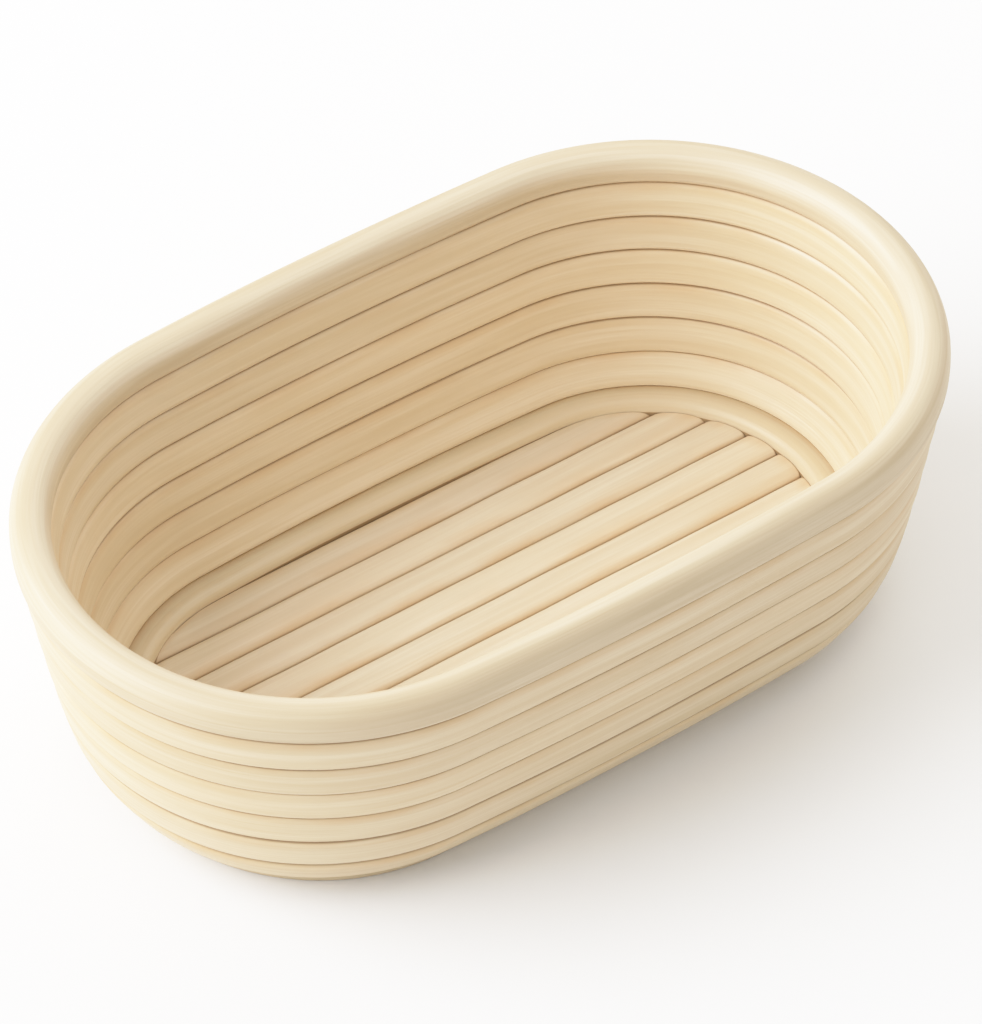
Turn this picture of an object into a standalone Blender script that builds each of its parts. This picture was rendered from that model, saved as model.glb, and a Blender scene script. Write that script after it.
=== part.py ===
"""Oval banneton: a proving basket of bent rattan canes, standing on the table with its mouth up.

The basket is a stack of closed cane rings round a floor of straight canes. From the top: a rim
cane, round above and flattened below where it sits on the wall, six wall canes that draw in as they
go down, and a base cane tucked in under the lowest wall cane. Nine floor canes lie side by side
inside the base cane. Wooden pegs hold each ring to the next one, and dowels through all the floor
canes hold them to the base cane.

Metres, +Z up, +X along the basket. The origin is under the middle of the basket, on the table.
"""

import math

import bmesh
import bpy
from mathutils import Matrix, Vector

# The basket's plan. The rim's centreline is an oval of four arcs that meet smoothly.
LENGTH = 0.250
WIDTH = 0.152
RIM_DIAMETER = 0.0102
RIM_SEAT_DEPTH = 0.0039  # from the rim's centreline down to the flat that sits on the wall
END_RADIUS = 0.0696  # of the rim's centreline round each end
END_STEPS = 15
SIDE_STEPS = 3

# The cane that the wall, the base and the floor are made of. It is flat-sided.
CANE_WIDTH = 0.0100
CANE_THICKNESS = 0.0092
CANE_SQUARENESS = 5.0  # exponent of the superellipse: 2 is an ellipse, and more is squarer
ROUND = 2.0
SECTION_POINTS = 12
GAP = 0.0003  # between any two neighbours

# Slope, in degrees from the horizontal, of the step from each ring down to the next one.
WALL_SLOPES = (82.7, 81.4, 80.7, 80.0, 79.2, 70.0, 47.0)

FLOOR_CANES = 9
FLOOR_THICKNESS = 0.0084  # of the floor canes, which are a little flatter

# Pegs join each ring to the next one. Every other joint has its pegs turned by an eighth of a turn.
PEG_DIAMETER = 0.0024
PEG_LENGTH = 0.0084
PEGS_PER_JOINT = 4
PEG_SIDES = 8

# Dowels run across the floor, through every floor cane and into the base cane on each side.
DOWEL_DIAMETER = 0.0030
DOWEL_POSITIONS = (-0.045, 0.0, 0.045)
DOWEL_HOLD = 0.0040  # depth to which a dowel enters the base cane

# Base colour and roughness of each kind of piece.
RIM_FINISH = ((0.75, 0.65, 0.48, 1.0), 0.42)
WALL_FINISH = ((0.66, 0.51, 0.32, 1.0), 0.48)
BASE_FINISH = ((0.68, 0.54, 0.36, 1.0), 0.50)
FLOOR_FINISH = ((0.74, 0.60, 0.40, 1.0), 0.50)
PEG_FINISH = ((0.60, 0.45, 0.27, 1.0), 0.60)

# What follows from the sizes above.
RIM_RADIUS = RIM_DIAMETER / 2
HALF_LENGTH = LENGTH / 2 - RIM_RADIUS
HALF_WIDTH = WIDTH / 2 - RIM_RADIUS
END_CENTRE = HALF_LENGTH - END_RADIUS
SIDE_RADIUS = (END_CENTRE**2 + HALF_WIDTH**2 - END_RADIUS**2) / (2 * (HALF_WIDTH - END_RADIUS))
SIDE_HALF_ANGLE = math.atan2(END_CENTRE, SIDE_RADIUS - HALF_WIDTH)
PEG_BORE_RADIUS = PEG_DIAMETER / 2 + GAP
DOWEL_BORE_RADIUS = DOWEL_DIAMETER / 2 + GAP


def clear_scene():
    for old in list(bpy.context.scene.objects):
        bpy.data.objects.remove(old, do_unlink=True)


def finish(name, colour_and_roughness):
    colour, roughness = colour_and_roughness
    material = bpy.data.materials.new(name)
    material.use_nodes = True
    shader = material.node_tree.nodes["Principled BSDF"]
    shader.inputs["Base Color"].default_value = colour
    shader.inputs["Roughness"].default_value = roughness
    shader.inputs["Metallic"].default_value = 0.0
    material.diffuse_color = colour
    return material


def plan_point(angle, inset):
    """The point of the oval, drawn in by inset from the rim's centreline, where it faces angle."""
    facing = Vector((math.cos(angle), math.sin(angle), 0.0))
    if abs(facing.x) > math.sin(SIDE_HALF_ANGLE):
        centre = Vector((math.copysign(END_CENTRE, facing.x), 0.0, 0.0))
        return centre + facing * (END_RADIUS - inset)
    centre = Vector((0.0, math.copysign(SIDE_RADIUS - HALF_WIDTH, -facing.y), 0.0))
    return centre + facing * (SIDE_RADIUS - inset)


def plan_stations():
    """The angles that the oval faces at each station: even turns on each of its four arcs."""
    end_half_angle = math.pi / 2 - SIDE_HALF_ANGLE
    angles = []
    for quarter in range(4):
        half_angle, steps = ((end_half_angle, END_STEPS), (SIDE_HALF_ANGLE, SIDE_STEPS))[quarter % 2]
        middle = quarter * math.pi / 2
        angles += [middle - half_angle + 2 * half_angle * step / steps for step in range(steps)]
    return angles


def section(half_thickness, half_widths, squarenesses):
    """A cane's section as (across, along) points, with a flat face on each of its four sides.

    half_widths and squarenesses are those of its upper half and of its lower half.
    """
    points = []
    for index in range(SECTION_POINTS):
        angle = (index + 0.5) * 2 * math.pi / SECTION_POINTS
        half = 0 if math.sin(angle) > 0 else 1
        power = 2 / squarenesses[half]
        widest = math.cos(math.pi / SECTION_POINTS) ** power
        across = math.copysign(abs(math.cos(angle)) ** power, math.cos(angle)) / widest
        along = math.copysign(abs(math.sin(angle)) ** power, math.sin(angle)) / widest
        points.append((across * half_thickness, along * half_widths[half]))
    return points


def cane_section(thickness):
    half_width = CANE_WIDTH / 2
    return section(thickness / 2, (half_width, half_width), (CANE_SQUARENESS, CANE_SQUARENESS))


def leaned(points, lean):
    """Section points as (inwards, up), with the section's along axis leaning out at lean."""
    inwards = [across * math.sin(lean) - along * math.cos(lean) for across, along in points]
    up = [across * math.cos(lean) + along * math.sin(lean) for across, along in points]
    return list(zip(inwards, up))


def reach(points, inwards, up):
    """How far the section extends from its centre in the direction (inwards, up)."""
    return max(point[0] * inwards + point[1] * up for point in points)


def ring_sections():
    """The leaned section of the rim, of each wall cane and of the base cane, from the top down."""
    slopes = [math.radians(slope) for slope in WALL_SLOPES]
    leans = [(above + below) / 2 for above, below in zip(slopes, slopes[1:])]
    cane = cane_section(CANE_THICKNESS)
    rim = section(RIM_RADIUS, (RIM_RADIUS, RIM_SEAT_DEPTH), (ROUND, CANE_SQUARENESS))
    return [rim] + [leaned(cane, lean) for lean in leans] + [cane]


def ring_centres(sections):
    """(inset, height) of each ring: each one is set down its slope until it almost touches."""
    centres = [(0.0, 0.0)]
    for slope, above, below in zip(WALL_SLOPES, sections, sections[1:]):
        inwards = math.cos(math.radians(slope))
        down = math.sin(math.radians(slope))
        step = reach(above, inwards, -down) + GAP + reach(below, -inwards, down)
        inset, height = centres[-1]
        centres.append((inset + step * inwards, height - step * down))
    lift = CANE_WIDTH / 2 - centres[-1][1]
    return [(inset, height + lift) for inset, height in centres]


def add_object(name, mesh_builder, material=None):
    """A mesh object at the origin. Without a material it is a cutter, which isn't rendered."""
    bmesh.ops.recalc_face_normals(mesh_builder, faces=mesh_builder.faces)
    mesh = bpy.data.meshes.new(name)
    mesh_builder.to_mesh(mesh)
    mesh_builder.free()
    piece = bpy.data.objects.new(name, mesh)
    bpy.context.collection.objects.link(piece)
    if material is None:
        piece.hide_render = True
        piece.display_type = "WIRE"
    else:
        mesh.materials.append(material)
        mesh.shade_smooth()
        mesh.set_sharp_from_angle(angle=math.radians(50))
    return piece


def add_ring(name, profile, centre, material):
    """A closed ring: the profile carried round the oval at this inset and height."""
    inset, height = centre
    builder = bmesh.new()
    loops = []
    for angle in plan_stations():
        loop = []
        for inwards, up in profile:
            loop.append(builder.verts.new(plan_point(angle, inset + inwards) + Vector((0, 0, height + up))))
        loops.append(loop)
    for loop, following in zip(loops, loops[1:] + loops[:1]):
        for index in range(len(profile)):
            before = index - 1
            builder.faces.new((loop[before], loop[index], following[index], following[before]))
    return add_object(name, builder, material)


def rod(builder, radius, length, middle, direction):
    """Adds a round rod, centred on middle and running along direction."""
    turn = direction.to_track_quat("Z", "X").to_matrix().to_4x4()
    bmesh.ops.create_cone(
        builder,
        cap_ends=True,
        segments=PEG_SIDES,
        radius1=radius,
        radius2=radius,
        depth=length,
        matrix=Matrix.Translation(middle) @ turn,
    )


def boolean(piece, cutter, operation):
    modifier = piece.modifiers.new(cutter.name, "BOOLEAN")
    modifier.operation = operation
    modifier.object = cutter
    modifier.solver = "EXACT"


def peg_places(joint, centres):
    """(middle, direction) of each peg of the joint between ring number joint and the next one."""
    (inset_above, height_above), (inset_below, height_below) = centres[joint], centres[joint + 1]
    slope = math.radians(WALL_SLOPES[joint])
    first = math.pi / PEGS_PER_JOINT if joint % 2 == 0 else 0.0
    places = []
    for index in range(PEGS_PER_JOINT):
        angle = first + index * 2 * math.pi / PEGS_PER_JOINT
        middle = plan_point(angle, (inset_above + inset_below) / 2)
        middle.z = (height_above + height_below) / 2
        outwards = Vector((math.cos(angle), math.sin(angle), 0.0))
        places.append((middle, outwards * math.cos(slope) + Vector((0, 0, math.sin(slope)))))
    return places


def add_pegs(rings, centres, material):
    """The pegs of every joint, each in a blind bore that runs into both of its rings."""
    for joint, (above, below) in enumerate(zip(rings, rings[1:])):
        bores = bmesh.new()
        for index, (middle, direction) in enumerate(peg_places(joint, centres)):
            builder = bmesh.new()
            rod(builder, PEG_DIAMETER / 2, PEG_LENGTH, middle, direction)
            add_object(f"peg_row_{joint + 1}_no_{index + 1}", builder, material)
            rod(bores, PEG_BORE_RADIUS, PEG_LENGTH + 2 * GAP, middle, direction)
        cutter = add_object(f"bores_row_{joint + 1}", bores)
        boolean(above, cutter, "DIFFERENCE")
        boolean(below, cutter, "DIFFERENCE")


def add_floor_field(inset):
    """A guide as tall as the wall: the room for the floor canes inside the base cane."""
    builder = bmesh.new()
    outline = [builder.verts.new(plan_point(angle, inset)) for angle in plan_stations()]
    bottom = builder.faces.new(outline)
    raised = bmesh.ops.extrude_face_region(builder, geom=[bottom])["geom"]
    top = [item for item in raised if isinstance(item, bmesh.types.BMVert)]
    bmesh.ops.translate(builder, verts=top, vec=(0, 0, 4 * CANE_WIDTH))
    bmesh.ops.translate(builder, verts=builder.verts, vec=(0, 0, -2 * CANE_WIDTH))
    return add_object("floor_field", builder)


def add_floor_cane(name, offset, material):
    """A straight cane along X at the given Y, longer than the floor before it is trimmed."""
    builder = bmesh.new()
    ends = []
    for x in (-HALF_LENGTH, HALF_LENGTH):
        end = []
        for up, sideways in cane_section(FLOOR_THICKNESS):
            end.append(builder.verts.new((x, offset + sideways, FLOOR_THICKNESS / 2 + up)))
        ends.append(end)
        builder.faces.new(end)
    for index in range(SECTION_POINTS):
        before = index - 1
        builder.faces.new((ends[0][before], ends[0][index], ends[1][index], ends[1][before]))
    return add_object(name, builder, material)


def add_dowels(base_inner_inset, material):
    """The dowels across the floor. Returns the cutter of the bores that hold them."""
    half_length = HALF_WIDTH - base_inner_inset + DOWEL_HOLD
    across = Vector((0.0, 1.0, 0.0))
    bores = bmesh.new()
    for index, x in enumerate(DOWEL_POSITIONS):
        middle = Vector((x, 0.0, FLOOR_THICKNESS / 2))
        builder = bmesh.new()
        rod(builder, DOWEL_DIAMETER / 2, 2 * half_length, middle, across)
        add_object(f"floor_dowel_{index + 1}", builder, material)
        rod(bores, DOWEL_BORE_RADIUS, 2 * (half_length + GAP), middle, across)
    return add_object("floor_dowel_bores", bores)


def add_floor(base, base_centre, floor_material, peg_material):
    inner_inset = base_centre[0] + CANE_THICKNESS / 2
    field = add_floor_field(inner_inset + GAP)
    bores = add_dowels(inner_inset, peg_material)
    boolean(base, bores, "DIFFERENCE")
    for index in range(FLOOR_CANES):
        offset = (index - (FLOOR_CANES - 1) / 2) * (CANE_WIDTH + GAP)
        cane = add_floor_cane(f"floor_cane_{index + 1}", offset, floor_material)
        boolean(cane, field, "INTERSECT")
        boolean(cane, bores, "DIFFERENCE")


def build():
    clear_scene()
    peg_material = finish("peg_wood", PEG_FINISH)
    wall_material = finish("wall_rattan", WALL_FINISH)
    materials = [finish("rim_rattan", RIM_FINISH)]
    materials += [wall_material] * (len(WALL_SLOPES) - 1)
    materials += [finish("base_rattan", BASE_FINISH)]
    names = ["rim_cane"]
    names += [f"wall_cane_{number}" for number in range(1, len(WALL_SLOPES))]
    names += ["base_cane"]
    sections = ring_sections()
    centres = ring_centres(sections)
    rings = [add_ring(*ring) for ring in zip(names, sections, centres, materials)]
    add_pegs(rings, centres, peg_material)
    add_floor(rings[-1], centres[-1], finish("floor_rattan", FLOOR_FINISH), peg_material)


build()
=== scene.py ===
"""Looks of the oval banneton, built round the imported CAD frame.

Every cane of the frame is replaced by a finer one in the same place: eight closed rings and nine
straight floor canes. Neighbouring canes share the line they touch along, so the joints stay tight
while the canes wander a little. The pegs and dowels stay as they are in the frame, inside the canes.
"""

import math
import random

import bpy
import numpy as np
from mathutils import Matrix, Vector


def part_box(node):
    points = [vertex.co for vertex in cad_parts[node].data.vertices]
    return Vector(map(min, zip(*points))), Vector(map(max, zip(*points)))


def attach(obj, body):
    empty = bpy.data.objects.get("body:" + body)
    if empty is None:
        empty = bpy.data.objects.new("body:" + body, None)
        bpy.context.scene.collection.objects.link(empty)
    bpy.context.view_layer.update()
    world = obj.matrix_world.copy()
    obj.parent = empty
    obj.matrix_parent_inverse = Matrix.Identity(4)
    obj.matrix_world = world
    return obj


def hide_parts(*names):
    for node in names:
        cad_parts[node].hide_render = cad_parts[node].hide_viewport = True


MM = 0.001
X, Y, Z = range(3)

# The first seed of each kind of thing that wanders. The thing's own number is added to it.
RING_JOINT_SEED = 310
RING_SEED = 3100
FLOOR_CANE_SEED = 6200
FLOOR_JOINT_SEED = 9300

# The oval plan of the rim's centreline, as the frame has it: four arcs that meet smoothly.
LENGTH = 0.250
WIDTH = 0.152
RIM_DIAMETER = 0.0102
CANE_THICKNESS = 0.0092
END_RADIUS = 0.0696
END_STEPS = 110  # stations round each end
SIDE_STEPS = 56  # stations along each side

# The canes.
RIM = "rim_cane"
BASE = "base_cane"
WALL_CANES = 6
FLOOR_CANES = 9
# A section is a superellipse whose corners differ. Its numbers are the exponents of its corners (the
# upper outer one, the upper inner one, and the lower two; 2 is an ellipse, and more is squarer), then
# how much thinner it is at both joints than in the middle, and how much thinner still at the upper one.
WALL_SECTION = (5.0, 5.0, 10.0, 0.0, 0.08)
RIM_SECTION = (2.0, 2.0, 5.0, 0.0, 0.0)
BASE_SECTION = (8.0, 3.2, 6.0, 0.0, 0.0)
FLOOR_SECTION = (5.0, 5.0, 5.0, 0.12, 0.0)
BASE_RISE = 0.0010  # of the base cane's top above the frame's, up against the lowest wall cane
SECTION_POINTS = 96  # round every section
RIM_SEAT_GAP = 0.00015  # half the frame's gap between the rim and the wall
PRESSED_IN = 0.00004  # how far touching canes sink into each other
JOINT_WANDER = 0.00010  # of the line along which two canes touch
FACE_WANDER = 0.00010  # of a whole cane, in and out of the wall
WANDER_WAVES = range(2, 10)  # waves in one turn round the basket

# The floor canes.
FLOOR_STEPS = 90  # points along each floor cane from one end's stations to the other's
FLOOR_END_GAP = 0.00005  # between a floor cane's end and the base cane
FLOOR_END_ROUNDING = 0.0003  # radius
FLOOR_END_STATIONS = (0.0, 0.00006, 0.00015, 0.0003, 0.0005, 0.0009)  # distances from the end
FLOOR_END_CREVICE = 0.0060  # how far in from its end a floor cane gets painted shade

# The base cane's upper face, from its outer corner (-1) to its inner one (1): its edge there is 1
# in the painted crevice shade under the lowest wall cane, and -1 at the corner's painted highlight.
BASE_FACE = (-1.0, -0.95, -0.85, -0.68, 0.10, 0.80, 1.0)
BASE_EDGE = (0.0, 0.6, 1.0, 1.0, 0.0, -0.5, -0.6)
BASE_FOOT = 0.53  # the inner face gets painted crevice shade below this, where it goes down beside the floor
# How far the painted crevice shade reaches over each ring's upper corner, inside and out, from the rim
# down.
INNER_CREVICES = (0.0, 0.97, 0.97, 0.97, 0.98, 1.06, 1.12)
OUTER_CREVICES = (0.0, 1.0, 1.0, 1.0, 1.0, 0.97, 0.90)

# Rattan grain. Its place in the noise is in millimetres across a cane and in fibre lengths along
# it, and each cane takes its grain from a part of the noise of its own. The scales are how many
# features fit in a millimetre, and in a fibre length.
FIBRE_LENGTH = 0.045
GRAIN_SHIFT = (41.0, 17.0, 0.0)
GRAIN_TURN_SHIFT = 3.7
FLOOR_GRAIN = 20  # the number of the first floor cane's grain, past those of the rings
FIBRE_SCALE = (1.7, 1.7, 1.0)
STREAK_SCALE = (0.42, 0.42, 0.8)
PATCH_SCALE = (0.16, 0.16, 2.2)
FIBRE_DETAIL = 3.0
FIBRE_HARSHNESS = 0.6
BROAD_DETAIL = 2.0
BROAD_HARSHNESS = 0.5
FIBRE_BUMP = 0.55
FIBRE_HEIGHT = 0.0002

# Pale, tan and stained rattan.
RIM_COLOURS = ((0.69, 0.585, 0.43, 1.0), (0.60, 0.485, 0.33, 1.0), (0.58, 0.41, 0.24, 1.0))
WALL_COLOURS = ((0.755, 0.635, 0.465, 1.0), (0.67, 0.535, 0.35, 1.0), (0.63, 0.435, 0.24, 1.0))
BASE_COLOURS = ((0.70, 0.59, 0.42, 1.0), (0.65, 0.52, 0.34, 1.0), (0.62, 0.43, 0.24, 1.0))
FLOOR_COLOURS = ((0.75, 0.65, 0.50, 1.0), (0.66, 0.54, 0.38, 1.0), (0.64, 0.45, 0.26, 1.0))
# A painted highlight along each cane's lower lip.
LIP_HIGHLIGHT = (0.84, 0.75, 0.59, 1.0)
# Painted shade: the dark colour laid into the crevice along each joint.
CREVICE_SHADE = (0.32, 0.21, 0.10, 1.0)
OUTSIDE_SHADE = (0.86, 0.835, 0.78, 1.0)  # painted shade: the outside of each ring is darker than the inside
WHITE = (1.0, 1.0, 1.0, 1.0)

# How one value of the grain gives another: the two ends of the first, then what each end gives.
TAN_STREAKS = (0.3, 0.7, 0.0, 1.0)
TAN_FIBRES = (0.35, 0.70, 0.0, 0.6)
STAINED_FIBRES = (0.60, 0.80, 0.0, 0.3)
# Painted shade beside a cane's upper joint, under the cane above, and how patchy it is.
EDGE_SHADE = (0.1, 1.0, 0.0, 1.0)
EDGE_SHADE_PATCHES = (0.35, 0.7, 0.25, 0.9)
# Painted highlight along the lip at a cane's lower joint.
PAINTED_LIP_HIGHLIGHT = (-0.86, -0.95, 0.0, 0.85)
CANE_BRIGHTNESS = (-1.0, 1.0, 0.97, 1.03)
# How much of the painted outside shade a point gets, from its place across the ring.
INSIDE_SHARE = (-0.4, 0.4, 0.0, 1.0)

# The painted crevice shade starts at one value of the edge and is full a little further on.
RING_CREVICE = 0.80
FLOOR_CREVICE = 0.91
CREVICE_BLUR = 0.08
CREVICE_DARKNESS = 0.85

RIM_ROUGHNESS = 0.50
CANE_ROUGHNESS = 0.46
FIBRE_SHINE = (0.3, 0.7)  # the fibres' values that are smoother and rougher than the rest
SMOOTHER = 0.05
ROUGHER = 0.08
RATTAN_SPECULAR = 0.8

PEG_PALE = (0.62, 0.45, 0.27, 1.0)
PEG_DARK = (0.44, 0.29, 0.15, 1.0)
PEG_GRAIN_SCALE = (900.0, 900.0, 60.0)
PEG_ROUGHNESS = (0.3, 0.7, 0.55, 0.7)

# Camera, at the photograph's viewing angle.
CAMERA_AZIMUTH = -34.53
CAMERA_ELEVATION = 44.67
CAMERA_ROLL = -0.92
CAMERA_DISTANCE = 1.68
CAMERA_LENS = 240.0
CAMERA_AIM = (-0.0073, -0.0124, 0.0594)
SENSOR_WIDTH = 36.0

# Light: a key light on the left, a weak fill on the right, and an even glow from all round.
WORLD_COLOUR = (1.0, 0.985, 0.955, 1.0)
WORLD_STRENGTH = 0.88
LIGHT_DISTANCE = 1.8
LIGHT_SIZE = 1.9
KEY_DIRECTION = (-0.85, 0.45, 0.65)  # towards the light
KEY_POWER = 50.0
KEY_COLOUR = (0.98, 0.99, 1.04)
FILL_DIRECTION = (0.80, 0.35, 0.60)
FILL_POWER = 13.0
FILL_COLOUR = (1.0, 0.97, 0.92)
SHOULDER_WHITE = 1.7  # the brightness that is shown as full white
# A few other brightnesses, each with the brightness that it is shown as.
SHOULDER = ((0.2, 0.2), (0.5, 0.5), (0.8, 0.75), (1.1, 0.90), (1.4, 0.97))
COMBINED_CURVE = 3  # after the red, green and blue ones

# The white surface that the basket stands on.
STUDIO_FLOOR_SIZE = 30.0
STUDIO_FLOOR_COLOUR = (0.88, 0.88, 0.88, 1.0)
STUDIO_FLOOR_ROUGHNESS = 0.9


# ---------------------------------------------------------------- the plan and the frame's places


def oval_stations():
    """Centre, outward direction and radius of the rim's arc at each station round the basket."""
    half_length = (LENGTH - RIM_DIAMETER) / 2
    half_width = (WIDTH - RIM_DIAMETER) / 2
    end_centre = half_length - END_RADIUS
    side_radius = (end_centre**2 + half_width**2 - END_RADIUS**2) / (2 * (half_width - END_RADIUS))
    side_offset = side_radius - half_width
    side_half_angle = math.atan2(end_centre, side_offset)
    end_half_angle = math.pi / 2 - side_half_angle
    centres, facings, radii = [], [], []
    arcs = (
        (end_half_angle, END_STEPS, (end_centre, 0.0), END_RADIUS),
        (side_half_angle, SIDE_STEPS, (0.0, -side_offset), side_radius),
        (end_half_angle, END_STEPS, (-end_centre, 0.0), END_RADIUS),
        (side_half_angle, SIDE_STEPS, (0.0, side_offset), side_radius),
    )
    for quarter, (half_angle, steps, centre, radius) in enumerate(arcs):
        for step in range(steps):
            angle = quarter * math.pi / 2 - half_angle + 2 * half_angle * step / steps
            centres.append(centre)
            facings.append((math.cos(angle), math.sin(angle)))
            radii.append(radius)
    return np.array(centres), np.array(facings), np.array(radii)


def ring_place(node):
    """(inset from the rim's centreline, height) of a ring's middle, read from its CAD mesh."""
    end_centre = (LENGTH - RIM_DIAMETER) / 2 - END_RADIUS
    points = np.array([vertex.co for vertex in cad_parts[node].data.vertices])
    at_end = points[points[:, X] > end_centre]
    distances = np.hypot(at_end[:, X] - end_centre, at_end[:, Y])
    inset = END_RADIUS - (distances.min() + distances.max()) / 2
    return inset, (points[:, Z].min() + points[:, Z].max()) / 2


def outline(inset):
    """The oval's plan drawn in by inset, as points round the basket."""
    return CENTRES + FACINGS * (RADII - inset)[:, None]


def far_edge(points, at, along, across):
    """Largest value of one coordinate on an oval outline, at values of the other one."""
    side = points[points[:, along] >= 0]
    order = np.argsort(side[:, across])
    return np.interp(at, side[order, across], side[order, along])


# ---------------------------------------------------------------- canes


def wander(source, turns, amplitude):
    """A slow wave with no seam, at each of turns, which are angles that run once round."""
    total = np.zeros_like(turns)
    for waves in WANDER_WAVES:
        total += source.uniform(-1, 1) * np.sin(waves * turns + source.uniform(0, 2 * math.pi))
    return total * amplitude / math.sqrt(len(WANDER_WAVES))


def section(upper_outer, upper_inner, lower, crown, taper):
    """A cane's section as unit (across, along) points. Its along axis runs from joint to joint."""
    angles = np.arange(SECTION_POINTS) * 2 * math.pi / SECTION_POINTS
    across, along = np.cos(angles), np.sin(angles)
    squareness = np.where(along < 0, lower, np.where(across > 0, upper_inner, upper_outer))
    reach = (np.abs(across) ** squareness + np.abs(along) ** squareness) ** (-1 / squareness)
    across, along = across * reach, along * reach
    return across * (1 - crown * along**2) * (1 - taper * (1 + along) / 2), along


def add_mesh(name, points, closed, attributes, material):
    """A tube through stations of section points: closed on itself, or with a cap at each end."""
    stations, around = points.shape[:2]
    mesh = bpy.data.meshes.new(name)
    index = np.arange(stations * around).reshape(stations, around)
    here = index if closed else index[:-1]
    there = np.roll(index, -1, axis=0) if closed else index[1:]
    faces = np.stack((here, there, np.roll(there, -1, axis=1), np.roll(here, -1, axis=1)), axis=-1)
    faces = faces.reshape(-1, 4).tolist()
    if not closed:
        faces += [index[0][::-1].tolist(), index[-1].tolist()]
    mesh.from_pydata(points.reshape(-1, 3).tolist(), [], faces)
    for label, values in attributes.items():
        kind, field = ("FLOAT_VECTOR", "vector") if values.ndim == 3 else ("FLOAT", "value")
        layer = mesh.attributes.new(label, kind, "POINT")
        layer.data.foreach_set(field, values.astype(np.float32).ravel())
    mesh.materials.append(material)
    mesh.shade_smooth()
    piece = bpy.data.objects.new(name, mesh)
    bpy.context.scene.collection.objects.link(piece)
    outward(mesh)
    return piece


def outward(mesh):
    """Turns every face of a closed mesh to face out."""
    mesh.calc_loop_triangles()
    corners = np.zeros(len(mesh.vertices) * 3)
    mesh.vertices.foreach_get("co", corners)
    triangles = np.zeros(len(mesh.loop_triangles) * 3, dtype=np.int32)
    mesh.loop_triangles.foreach_get("vertices", triangles)
    first, second, third = corners.reshape(-1, 3)[triangles.reshape(-1, 3)].transpose(1, 0, 2)
    volume = np.sum(first * np.cross(second, third))
    if volume < 0:
        mesh.flip_normals()


def grain(across, up, along, tone, edge, inside, number, period=None):
    """Attributes for the rattan's noise: where a point lies in the cane's section and along it.

    Along a closed ring the place is two coordinates, on a circle, so that the grain has no seam.
    """
    shape = np.broadcast_shapes(across.shape, up.shape, along.shape)
    if period is None:
        first, second = along / FIBRE_LENGTH, np.zeros(shape)
    else:
        turn = 2 * math.pi * along / period
        radius = period / (2 * math.pi * FIBRE_LENGTH)
        first, second = radius * np.cos(turn), radius * np.sin(turn)
    place = np.stack(
        [np.broadcast_to(part, shape) for part in (across / MM, up / MM, first)],
        axis=-1,
    )
    place = place + number * np.array(GRAIN_SHIFT)
    return {
        "grain": place,
        "grain_w": np.broadcast_to(second, shape) + number * GRAIN_TURN_SHIFT,
        "tone": np.broadcast_to(tone, shape),
        "edge": np.broadcast_to(edge, shape),
        "inside": np.broadcast_to(inside, shape),
    }


def ring_edge(number, across, along):
    """How near each point of a ring's section is to its upper joint (1) or its lower one (-1)."""
    is_base = number > WALL_CANES
    if is_base:
        foot = (across > 0) & (along < BASE_FOOT)
        face = np.where(along > 0, np.interp(across, BASE_FACE, BASE_EDGE), 0.0)
        return np.where(foot, 1.0, face)
    crevice = np.where(across > 0, INNER_CREVICES[number], OUTER_CREVICES[number])
    return np.where(along > 0, along * crevice, along)


def add_ring(name, number, place, lean, halves, joints, shape, material):
    """A closed ring whose section leans with the wall.

    halves is its half thickness and its half widths up to the ring above and down to the one
    below. joints is how far those two touching lines wander, in the same order.
    """
    source = random.Random(RING_SEED + number)
    inset, height = place
    half_thickness, half_up, half_down = halves
    joint_up, joint_down = joints
    across, along = section(*shape)
    shift = wander(source, TURNS, FACE_WANDER)[:, None]
    upper = (half_up + joint_up)[:, None]
    lower = (half_down - joint_down)[:, None]
    across_wall = across[None, :] * half_thickness + shift
    up_wall = np.where(along > 0, along * upper, along * lower)
    inwards = inset + across_wall * math.sin(lean) - up_wall * math.cos(lean)
    up = height + across_wall * math.cos(lean) + up_wall * math.sin(lean)
    plan = CENTRES[:, None, :] + FACINGS[:, None, :] * (RADII[:, None] - inwards)[:, :, None]
    points = np.concatenate([plan, up[:, :, None]], axis=-1)
    steps = np.linalg.norm(np.roll(outline(inset), -1, axis=0) - outline(inset), axis=1)
    distance = np.concatenate([[0.0], np.cumsum(steps)[:-1]])[:, None]
    attributes = grain(
        across[None, :] * half_thickness,
        along[None, :] * half_up,
        distance,
        source.uniform(-1, 1),
        ring_edge(number, across, along)[None, :],
        across[None, :],
        number,
        steps.sum(),
    )
    return add_mesh(f"{name}_visual", points, True, attributes, material)


def base_bulge(heights, base_height):
    """How far the base cane's inner face stands in from the base cane's middle, at some heights."""
    across, along = section(*BASE_SECTION)
    inner = across > 0
    rise = np.where(along > 0, along * (CANE_WIDTH / 2 + BASE_RISE), along * CANE_WIDTH / 2)
    order = np.argsort(rise[inner])
    return CANE_THICKNESS / 2 * np.interp(heights - base_height, rise[inner][order], across[inner][order])


def round_ends(points, up_unit, side_unit):
    """Draws a floor cane's section in at both ends. Gives each point's distance from its end."""
    from_end = points[:, :, X].max(axis=0) - np.abs(points[:, :, X])
    inward = (1 - from_end / FLOOR_END_ROUNDING).clip(0, 1)
    squeeze = FLOOR_END_ROUNDING * (1 - np.sqrt(1 - inward**2))
    points[:, :, Y] -= side_unit * squeeze
    points[:, :, Z] -= up_unit * squeeze
    return from_end


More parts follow.
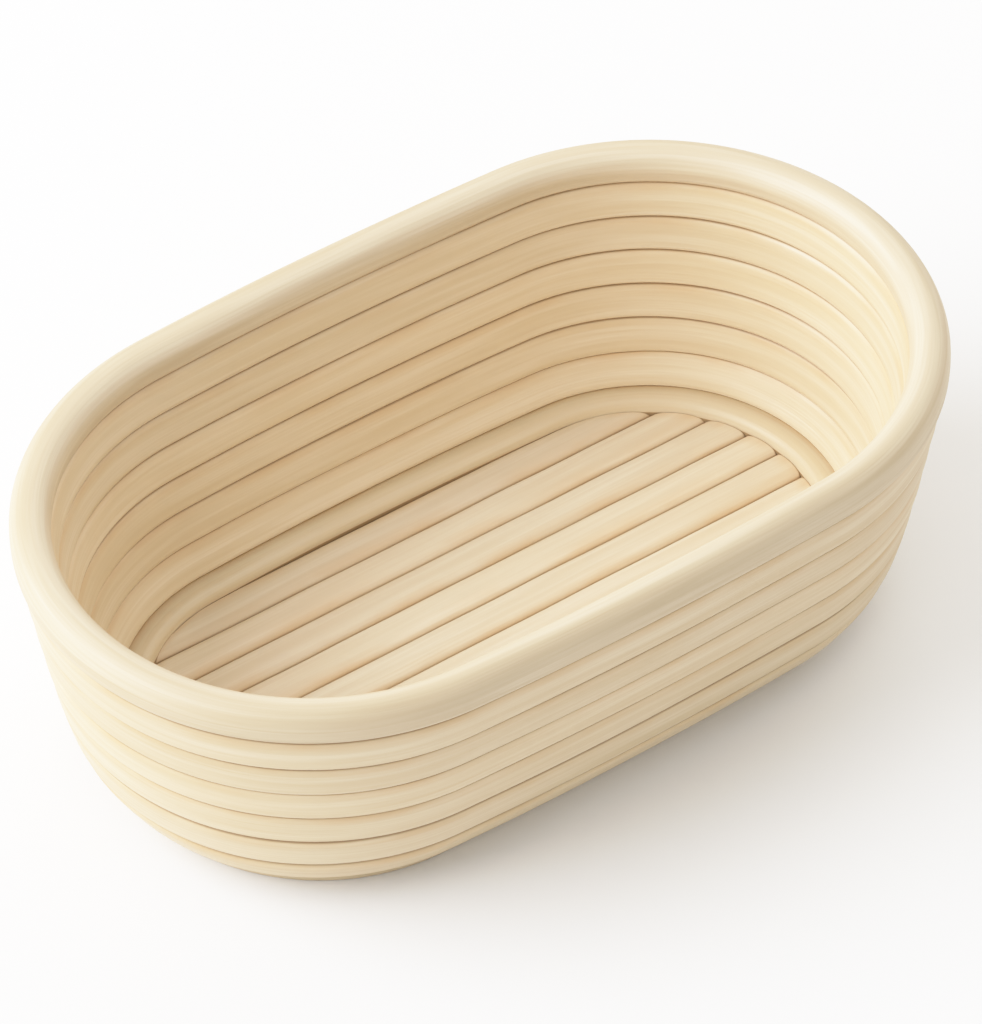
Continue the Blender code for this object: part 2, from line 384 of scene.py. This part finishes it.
def add_floor_cane(name, number, offset, halves, joints, base, material):
    """A straight cane along X, its ends coped to the inside of the base ring.

    joints is the numbers of the joints on its two sides, and base is the base cane's place.
    """
    source = random.Random(FLOOR_CANE_SEED + number)
    half_thickness, half_width = halves
    up_unit, side_unit = section(*FLOOR_SECTION)
    up = half_thickness * (1 + up_unit)
    near_end = np.array(FLOOR_END_STATIONS)
    middle = np.linspace(-1.0, 1.0, FLOOR_STEPS)[1:-1]
    base_inset, base_height = base
    bulge = base_bulge(up, base_height)
    points = np.zeros((2 * len(near_end) + len(middle), SECTION_POINTS, 3))
    for column in range(SECTION_POINTS):
        side = offset + side_unit[column] * half_width
        room = outline(base_inset + bulge[column] + FLOOR_END_GAP)
        end = far_edge(room, side, X, Y)
        x = np.concatenate([near_end - end, middle * (end - near_end[-1]), (end - near_end)[::-1]])
        joint = joints[1] if side_unit[column] > 0 else joints[0]
        turns = x / LENGTH * 2 * math.pi
        line = wander(random.Random(FLOOR_JOINT_SEED + joint), turns, JOINT_WANDER)
        reach = far_edge(room, x, Y, X)
        points[:, column, X] = x
        points[:, column, Y] = np.clip(side + line, -reach, reach)
        points[:, column, Z] = up[column]
    from_end = round_ends(points, up_unit, side_unit)
    # The last cane has the base cane on its far side, and so painted crevice shade on both of its sides.
    beside = np.abs(side_unit) if joints[1] == FLOOR_CANES else -side_unit
    attributes = grain(
        (up - half_thickness)[None, :],
        side_unit[None, :] * half_width,
        points[:, :, X],
        source.uniform(-1, 1),
        # painted crevice shade along the joints and towards both ends
        np.maximum(beside, 1 - from_end / FLOOR_END_CREVICE),
        np.ones(1),
        number,
    )
    return add_mesh(name, points, False, attributes, material)


# ---------------------------------------------------------------- materials


class Nodes:
    """Builds a material's node tree, one short call for each node."""

    def __init__(self, name):
        self.material = bpy.data.materials.new(name)
        self.material.use_nodes = True
        self.tree = self.material.node_tree
        self.shader = self.tree.nodes["Principled BSDF"]

    def link(self, value, socket):
        if isinstance(value, bpy.types.NodeSocket):
            self.tree.links.new(value, socket)
        else:
            socket.default_value = value

    def attribute(self, name, output):
        node = self.tree.nodes.new("ShaderNodeAttribute")
        node.attribute_name = name
        return node.outputs[output]

    def scaled(self, vector, factors):
        node = self.tree.nodes.new("ShaderNodeVectorMath")
        node.operation = "MULTIPLY"
        self.link(vector, node.inputs[0])
        self.link(factors, node.inputs[1])
        return node.outputs[0]

    def product(self, first, second):
        node = self.tree.nodes.new("ShaderNodeMath")
        node.operation = "MULTIPLY"
        self.link(first, node.inputs[0])
        self.link(second, node.inputs[1])
        return node.outputs[0]

    def noise(self, vector, w, detail, harshness):
        node = self.tree.nodes.new("ShaderNodeTexNoise")
        node.noise_dimensions = "4D"
        self.link(vector, node.inputs["Vector"])
        self.link(w, node.inputs["W"])
        node.inputs["Scale"].default_value = 1.0
        node.inputs["Detail"].default_value = detail
        node.inputs["Roughness"].default_value = harshness
        return node.outputs["Fac"]

    def fit(self, value, low, high, to_low, to_high):
        node = self.tree.nodes.new("ShaderNodeMapRange")
        node.interpolation_type = "SMOOTHSTEP"
        for socket, number in zip(node.inputs, (value, low, high, to_low, to_high)):
            self.link(number, socket)
        return node.outputs[0]

    def mix(self, factor, first, second, blend="MIX"):
        node = self.tree.nodes.new("ShaderNodeMix")
        node.data_type = "RGBA"
        node.blend_type = blend
        colours = [socket for socket in node.inputs if socket.type == "RGBA"]
        self.link(factor, node.inputs["Factor"])
        self.link(first, colours[0])
        self.link(second, colours[1])
        return [socket for socket in node.outputs if socket.type == "RGBA"][0]


def rattan(name, colours, roughness, crevice_start):
    """Peeled rattan: long fine fibres and broad soft streaks.

    Each cane gets painted shade in warm patches beside its upper joint, painted shade in the crevice,
    and a painted highlight along the lip at its lower joint.
    """
    # The third colour is the fibres' real stain and also the painted shade beside the upper joint.
    pale, tan, stain_and_shade = colours
    nodes = Nodes(name)
    place = nodes.attribute("grain", "Vector")
    turn = nodes.attribute("grain_w", "Fac")
    tone = nodes.attribute("tone", "Fac")
    edge = nodes.attribute("edge", "Fac")
    inside = nodes.attribute("inside", "Fac")
    fibres = nodes.noise(nodes.scaled(place, FIBRE_SCALE), turn, FIBRE_DETAIL, FIBRE_HARSHNESS)
    streaks = nodes.noise(nodes.scaled(place, STREAK_SCALE), turn, BROAD_DETAIL, BROAD_HARSHNESS)
    patch_turn = nodes.product(turn, PATCH_SCALE[2])
    patches = nodes.noise(nodes.scaled(place, PATCH_SCALE), patch_turn, BROAD_DETAIL, BROAD_HARSHNESS)
    colour = nodes.mix(nodes.fit(streaks, *TAN_STREAKS), pale, tan)
    colour = nodes.mix(nodes.fit(fibres, *TAN_FIBRES), colour, tan)
    colour = nodes.mix(nodes.fit(fibres, *STAINED_FIBRES), colour, stain_and_shade)
    # Painted shade in stain-coloured patches beside the upper joint, under the overhang of the cane
    # above.
    patchy_edge_shade = nodes.product(nodes.fit(edge, *EDGE_SHADE), nodes.fit(patches, *EDGE_SHADE_PATCHES))
    colour = nodes.mix(patchy_edge_shade, colour, stain_and_shade)
    # Painted highlight: the lip at the lower joint is paler.
    colour = nodes.mix(nodes.fit(edge, *PAINTED_LIP_HIGHLIGHT), colour, LIP_HIGHLIGHT)
    crevice_end = crevice_start + CREVICE_BLUR
    # Painted shade: the crevice along each joint is darkened.
    crevice_shade_mask = nodes.fit(edge, crevice_start, crevice_end, 0.0, CREVICE_DARKNESS)
    colour = nodes.mix(crevice_shade_mask, colour, CREVICE_SHADE)
    colour = nodes.mix(1.0, colour, nodes.fit(tone, *CANE_BRIGHTNESS), "MULTIPLY")
    # Painted shade on the outer half of each ring and the rim.
    outside_shade_colour = nodes.mix(nodes.fit(inside, *INSIDE_SHARE), OUTSIDE_SHADE, WHITE)
    colour = nodes.mix(1.0, colour, outside_shade_colour, "MULTIPLY")
    nodes.link(colour, nodes.shader.inputs["Base Color"])
    shine = nodes.fit(fibres, *FIBRE_SHINE, roughness - SMOOTHER, roughness + ROUGHER)
    nodes.link(shine, nodes.shader.inputs["Roughness"])
    nodes.shader.inputs["Specular IOR Level"].default_value = RATTAN_SPECULAR
    bump = nodes.tree.nodes.new("ShaderNodeBump")
    bump.inputs["Strength"].default_value = FIBRE_BUMP
    bump.inputs["Distance"].default_value = FIBRE_HEIGHT
    nodes.link(fibres, bump.inputs["Height"])
    nodes.link(bump.outputs["Normal"], nodes.shader.inputs["Normal"])
    return nodes.material


def peg_wood():
    """Plain turned wood. Its grain follows the object's own coordinates."""
    nodes = Nodes("peg_wood")
    coordinates = nodes.tree.nodes.new("ShaderNodeTexCoord").outputs["Object"]
    place = nodes.scaled(coordinates, PEG_GRAIN_SCALE)
    wood_grain = nodes.noise(place, 0.0, FIBRE_DETAIL, BROAD_HARSHNESS)
    nodes.link(nodes.mix(wood_grain, PEG_PALE, PEG_DARK), nodes.shader.inputs["Base Color"])
    nodes.link(nodes.fit(wood_grain, *PEG_ROUGHNESS), nodes.shader.inputs["Roughness"])
    return nodes.material


def paper_floor():
    """Matt white paper."""
    nodes = Nodes("studio_floor")
    nodes.shader.inputs["Base Color"].default_value = STUDIO_FLOOR_COLOUR
    nodes.shader.inputs["Roughness"].default_value = STUDIO_FLOOR_ROUGHNESS
    nodes.shader.inputs["Specular IOR Level"].default_value = 0.0
    return nodes.material


# ---------------------------------------------------------------- the basket


def lay(piece, node):
    """Puts a finished cane in its CAD node's place."""
    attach(piece, "root")
    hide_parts(node)


def steps_down(places):
    """(inwards, down) from each ring's middle to the next one's."""
    return [(below[0] - above[0], above[1] - below[1]) for above, below in zip(places, places[1:])]


def ring_leans(places):
    """Each ring's slope: the rim and the base stand upright, and a wall cane leans with the wall."""
    slopes = [math.atan2(down, inwards) for inwards, down in steps_down(places)]
    upright = math.pi / 2
    return [upright, *[(above + below) / 2 for above, below in zip(slopes, slopes[1:])], upright]


def ring_halves(places):
    """Each ring's half widths: up to the joint above it, and down to the joint below it."""
    spans = [math.hypot(*step) for step in steps_down(places)]
    seat = places[0][1] - rim_low.z + RIM_SEAT_GAP
    shared = [span / 2 for span in spans[1:-1]]
    ups = [RIM_DIAMETER / 2, spans[0] - seat, *shared, CANE_WIDTH / 2 + BASE_RISE]
    downs = [seat, *shared, CANE_WIDTH / 2, CANE_WIDTH / 2]
    return list(zip(ups, downs))


def ring_joints():
    """How far the joints above and below each ring wander. The last wall cane's lower one is still."""
    still = np.zeros_like(TURNS)
    lines = [
        wander(random.Random(RING_JOINT_SEED + joint), TURNS, JOINT_WANDER)
        for joint in range(WALL_CANES)
    ]
    return list(zip([still, *lines, still], [*lines, still, still]))


def add_rings():
    """The rim, the wall canes and the base cane, from the top down. Gives the base cane's place."""
    walls = [f"wall_cane_{number + 1}" for number in range(WALL_CANES)]
    names = [RIM, *walls, BASE]
    slots = ["rim_rattan", *["wall_rattan"] * WALL_CANES, "base_rattan"]
    shapes = [RIM_SECTION, *[WALL_SECTION] * WALL_CANES, BASE_SECTION]
    finishes = {
        "rim_rattan": rattan("rim_rattan", RIM_COLOURS, RIM_ROUGHNESS, RING_CREVICE),
        "wall_rattan": rattan("wall_rattan", WALL_COLOURS, CANE_ROUGHNESS, RING_CREVICE),
        "base_rattan": rattan("base_rattan", BASE_COLOURS, CANE_ROUGHNESS, RING_CREVICE),
    }
    places = [ring_place(name) for name in names]
    places[0] = (places[0][0], rim_high.z - RIM_DIAMETER / 2)  # the CAD rim is flat underneath
    leans = ring_leans(places)
    halves = ring_halves(places)
    joints = ring_joints()
    for number, (name, slot) in enumerate(zip(names, slots)):
        thickness = RIM_DIAMETER if name == RIM else CANE_THICKNESS
        up, down = halves[number]
        piece = add_ring(
            name,
            number,
            places[number],
            leans[number],
            (thickness / 2, up + PRESSED_IN, down + PRESSED_IN),
            joints[number],
            shapes[number],
            finishes[slot],
        )
        lay(piece, name)
    return places[-1]


def add_floor_canes(base_place):
    """The straight canes side by side inside the base cane."""
    finish = rattan("floor_rattan", FLOOR_COLOURS, CANE_ROUGHNESS, FLOOR_CREVICE)
    for index in range(FLOOR_CANES):
        node = f"floor_cane_{index + 1}"
        offset = (index - (FLOOR_CANES - 1) / 2) * FLOOR_PITCH
        piece = add_floor_cane(
            f"{node}_visual",
            index + FLOOR_GRAIN,
            offset,
            (FLOOR_THICKNESS / 2, FLOOR_PITCH / 2 + PRESSED_IN),
            (index, index + 1),
            base_place,
            finish,
        )
        lay(piece, node)


def finish_pegs():
    """The pegs and dowels stay as they are in the frame, and get their wood."""
    wood = peg_wood()
    for name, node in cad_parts.items():
        if name.startswith(("peg_", "floor_dowel_")):
            node.data.materials.clear()
            node.data.materials.append(wood)


# ---------------------------------------------------------------- the studio


def add_camera():
    """A long lens that looks down into the basket."""
    azimuth, elevation = math.radians(CAMERA_AZIMUTH), math.radians(CAMERA_ELEVATION)
    back = Vector(
        (
            math.sin(azimuth) * math.cos(elevation),
            -math.cos(azimuth) * math.cos(elevation),
            math.sin(elevation),
        )
    )
    data = bpy.data.cameras.new("camera")
    data.lens = CAMERA_LENS
    data.sensor_width = SENSOR_WIDTH
    data.clip_end = 2 * STUDIO_FLOOR_SIZE
    camera = bpy.data.objects.new("camera", data)
    bpy.context.scene.collection.objects.link(camera)
    roll = Matrix.Rotation(math.radians(CAMERA_ROLL), 4, "Z")
    turn = back.to_track_quat("Z", "Y").to_matrix().to_4x4() @ roll
    camera.matrix_world = Matrix.Translation(Vector(CAMERA_AIM) + back * CAMERA_DISTANCE) @ turn
    bpy.context.scene.camera = camera


def add_world():
    """An even, slightly warm glow from all round."""
    world = bpy.data.worlds.new("studio")
    world.use_nodes = True
    background = world.node_tree.nodes["Background"]
    background.inputs["Color"].default_value = WORLD_COLOUR
    background.inputs["Strength"].default_value = WORLD_STRENGTH
    bpy.context.scene.world = world


def add_light(name, direction, power, colour):
    """A large soft disk light that faces the middle of the basket."""
    data = bpy.data.lights.new(name, "AREA")
    data.shape = "DISK"
    data.size = LIGHT_SIZE
    data.energy = power
    data.color = colour
    light = bpy.data.objects.new(name, data)
    bpy.context.scene.collection.objects.link(light)
    towards = Vector(direction).normalized()
    turn = towards.to_track_quat("Z", "Y").to_matrix().to_4x4()
    light.matrix_world = Matrix.Translation(towards * LIGHT_DISTANCE) @ turn


def add_studio_floor():
    """A white surface that runs out of sight."""
    half = STUDIO_FLOOR_SIZE / 2
    mesh = bpy.data.meshes.new("studio_floor")
    corners = [(-half, -half, 0), (half, -half, 0), (half, half, 0), (-half, half, 0)]
    mesh.from_pydata(corners, [], [(0, 1, 2, 3)])
    mesh.materials.append(paper_floor())
    floor = bpy.data.objects.new("studio_floor", mesh)
    bpy.context.scene.collection.objects.link(floor)


def set_exposure():
    """A photographic response: straight in the shadows, with a soft shoulder towards white."""
    view = bpy.context.scene.view_settings
    view.view_transform = "Standard"
    view.use_curve_mapping = True
    mapping = view.curve_mapping
    mapping.white_level = (SHOULDER_WHITE,) * 3
    curve = mapping.curves[COMBINED_CURVE]
    for brightness, shown in SHOULDER:
        curve.points.new(brightness / SHOULDER_WHITE, shown)
    mapping.update()


# ---------------------------------------------------------------- the scene


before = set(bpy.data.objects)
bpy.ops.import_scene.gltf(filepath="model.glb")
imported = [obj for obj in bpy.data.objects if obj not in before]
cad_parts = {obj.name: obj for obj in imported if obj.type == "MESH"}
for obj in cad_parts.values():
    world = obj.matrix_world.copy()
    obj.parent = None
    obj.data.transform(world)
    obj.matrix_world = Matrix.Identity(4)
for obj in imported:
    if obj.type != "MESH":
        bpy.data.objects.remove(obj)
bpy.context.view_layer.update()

# Sizes and places that the frame gives.
rim_low, rim_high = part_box(RIM)
middle_low, middle_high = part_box("floor_cane_5")
next_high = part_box("floor_cane_6")[1]
CANE_WIDTH = middle_high.y - middle_low.y
FLOOR_THICKNESS = middle_high.z - middle_low.z
FLOOR_PITCH = next_high.y - middle_high.y
CENTRES, FACINGS, RADII = oval_stations()
TURNS = np.arange(len(RADII)) * 2 * math.pi / len(RADII)

add_floor_canes(add_rings())
finish_pegs()
add_studio_floor()
add_world()
add_light("key", KEY_DIRECTION, KEY_POWER, KEY_COLOUR)
add_light("fill", FILL_DIRECTION, FILL_POWER, FILL_COLOUR)
add_camera()
set_exposure()
